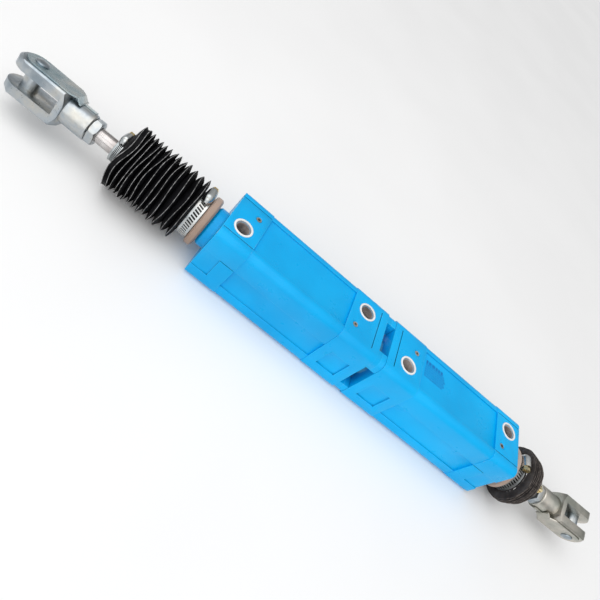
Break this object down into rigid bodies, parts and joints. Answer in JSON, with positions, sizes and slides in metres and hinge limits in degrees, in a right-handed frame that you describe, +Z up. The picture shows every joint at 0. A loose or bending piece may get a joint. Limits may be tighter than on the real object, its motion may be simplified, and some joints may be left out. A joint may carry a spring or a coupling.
{
  "type": "pneumatic cylinder",
  "caption": "Two square profile air cylinders joined back to back, each rod with a pleated bellows and a clip-pin fork end, for short linear push and pull with several stops.",
  "frame": {"origin": "centre of the whole length at rest, on the plane of the caps' underside", "axes": "+X along the rods, from the extended rod's end to the retracted one's, +Z up through the port faces"},
  "size_m": [0.811, 0.075, 0.0757],
  "materials": {
    "blue_paint": "semi-gloss blue machine enamel brushed over cast and extruded aluminium",
    "zinc": "bright zinc-plated steel",
    "chrome_rod": "ground and hard-chromed",
    "spring_steel": "zinc-plated spring sheet",
    "clamp_steel": "stamped stainless strip",
    "copper_ring": "tan primer over turned steel",
    "cloth_left": "black coated cloth with grey stitched edges",
    "cloth_right": "dark brown-grey coated cloth, folded and dusty",
    "white_washer": "white sealing washer",
    "seal": "black nitrile rubber",
    "bronze": "sintered bronze",
    "alloy": "turned aluminium",
    "wear_plastic": "ivory acetal"
  },
  "bodies": {
    "housing": {"joint_studs": "zinc", "centring_ring": "blue_paint", "left_barrel": "blue_paint", "left_front_cap": "blue_paint", "left_rear_cap": "blue_paint", "left_cap_screws": "zinc", "left_port_washers": "white_washer", "left_rod_bush": "bronze", "left_rod_wiper": "seal", "left_cushion_seals": "seal", "left_cap_orings": "seal", "left_bellows_adaptor": "copper_ring", "left_bellows_clamp": "clamp_steel", "left_bellows_clamp_screw": "zinc", "left_bellows": "cloth_left", "right_barrel": "blue_paint", "right_front_cap": "blue_paint", "right_rear_cap": "blue_paint", "right_cap_screws": "zinc", "right_port_washers": "white_washer", "right_rod_bush": "bronze", "right_rod_wiper": "seal", "right_cushion_seals": "seal", "right_cap_orings": "seal", "right_bellows_adaptor": "copper_ring", "right_bellows_clamp": "clamp_steel", "right_bellows_clamp_screw": "zinc", "right_bellows": "cloth_right"},
    "left_rod": {"left_piston_rod": "chrome_rod", "left_piston": "alloy", "left_piston_seals": "seal", "left_wear_ring": "wear_plastic", "left_cushion_bosses": "alloy", "left_piston_nut": "zinc", "left_rod_clamp": "clamp_steel", "left_rod_clamp_screw": "zinc", "left_lock_nut": "zinc"},
    "left_fork_body": {"left_fork": "zinc"},
    "left_clip_body": {"left_fork_pin": "zinc", "left_pin_clip": "spring_steel"},
    "left_front_cushion_body": {"left_front_cushion_screw": "zinc"},
    "left_rear_cushion_body": {"left_rear_cushion_screw": "zinc"},
    "right_rod": {"right_piston_rod": "chrome_rod", "right_piston": "alloy", "right_piston_seals": "seal", "right_wear_ring": "wear_plastic", "right_cushion_bosses": "alloy", "right_piston_nut": "zinc", "right_rod_clamp": "clamp_steel", "right_rod_clamp_screw": "zinc", "right_lock_nut": "zinc"},
    "right_fork_body": {"right_fork": "zinc"},
    "right_clip_body": {"right_fork_pin": "zinc", "right_pin_clip": "spring_steel"},
    "right_front_cushion_body": {"right_front_cushion_screw": "zinc"},
    "right_rear_cushion_body": {"right_rear_cushion_screw": "zinc"}
  },
  "joints": [
    {"name": "left_rod_slide", "type": "slide", "parent": "housing", "child": "left_rod", "axis": [-1, 0, 0], "range_m": [-0.068, 0.012], "deforming": ["left_bellows"]},
    {"name": "left_fork_turn", "type": "hinge", "parent": "left_rod", "child": "left_fork_body", "pos_m": [-0.3225, 0, 0.0375], "axis": [-1, 0, 0], "continuous": true},
    {"name": "left_clip_swing", "type": "hinge", "parent": "left_fork_body", "child": "left_clip_body", "pos_m": [-0.3865, 0, 0.0375], "axis": [0, 0.3584, 0.9336], "range_deg": [0, 180]},
    {"name": "left_front_cushion_turn", "type": "hinge", "parent": "housing", "child": "left_front_cushion_body", "pos_m": [-0.1476, 0.0136, 0.0675], "axis": [0, 0, 1], "range_deg": [-360, 720]},
    {"name": "left_rear_cushion_turn", "type": "hinge", "parent": "housing", "child": "left_rear_cushion_body", "pos_m": [-0.0074, -0.0136, 0.0675], "axis": [0, 0, 1], "range_deg": [-360, 720]},
    {"name": "right_rod_slide", "type": "slide", "parent": "housing", "child": "right_rod", "axis": [1, 0, 0], "range_m": [0, 0.08], "deforming": ["right_bellows"]},
    {"name": "right_fork_turn", "type": "hinge", "parent": "right_rod", "child": "right_fork_body", "pos_m": [0.3225, 0, 0.0375], "axis": [1, 0, 0], "continuous": true},
    {"name": "right_clip_swing", "type": "hinge", "parent": "right_fork_body", "child": "right_clip_body", "pos_m": [0.3865, 0, 0.0375], "axis": [0, -0.9563, -0.2924], "range_deg": [0, 180]},
    {"name": "right_front_cushion_turn", "type": "hinge", "parent": "housing", "child": "right_front_cushion_body", "pos_m": [0.2156, -0.0136, 0.0675], "axis": [0, 0, 1], "range_deg": [-360, 720]},
    {"name": "right_rear_cushion_turn", "type": "hinge", "parent": "housing", "child": "right_rear_cushion_body", "pos_m": [0.0754, 0.0136, 0.0675], "axis": [0, 0, 1], "range_deg": [-360, 720]}
  ]
}
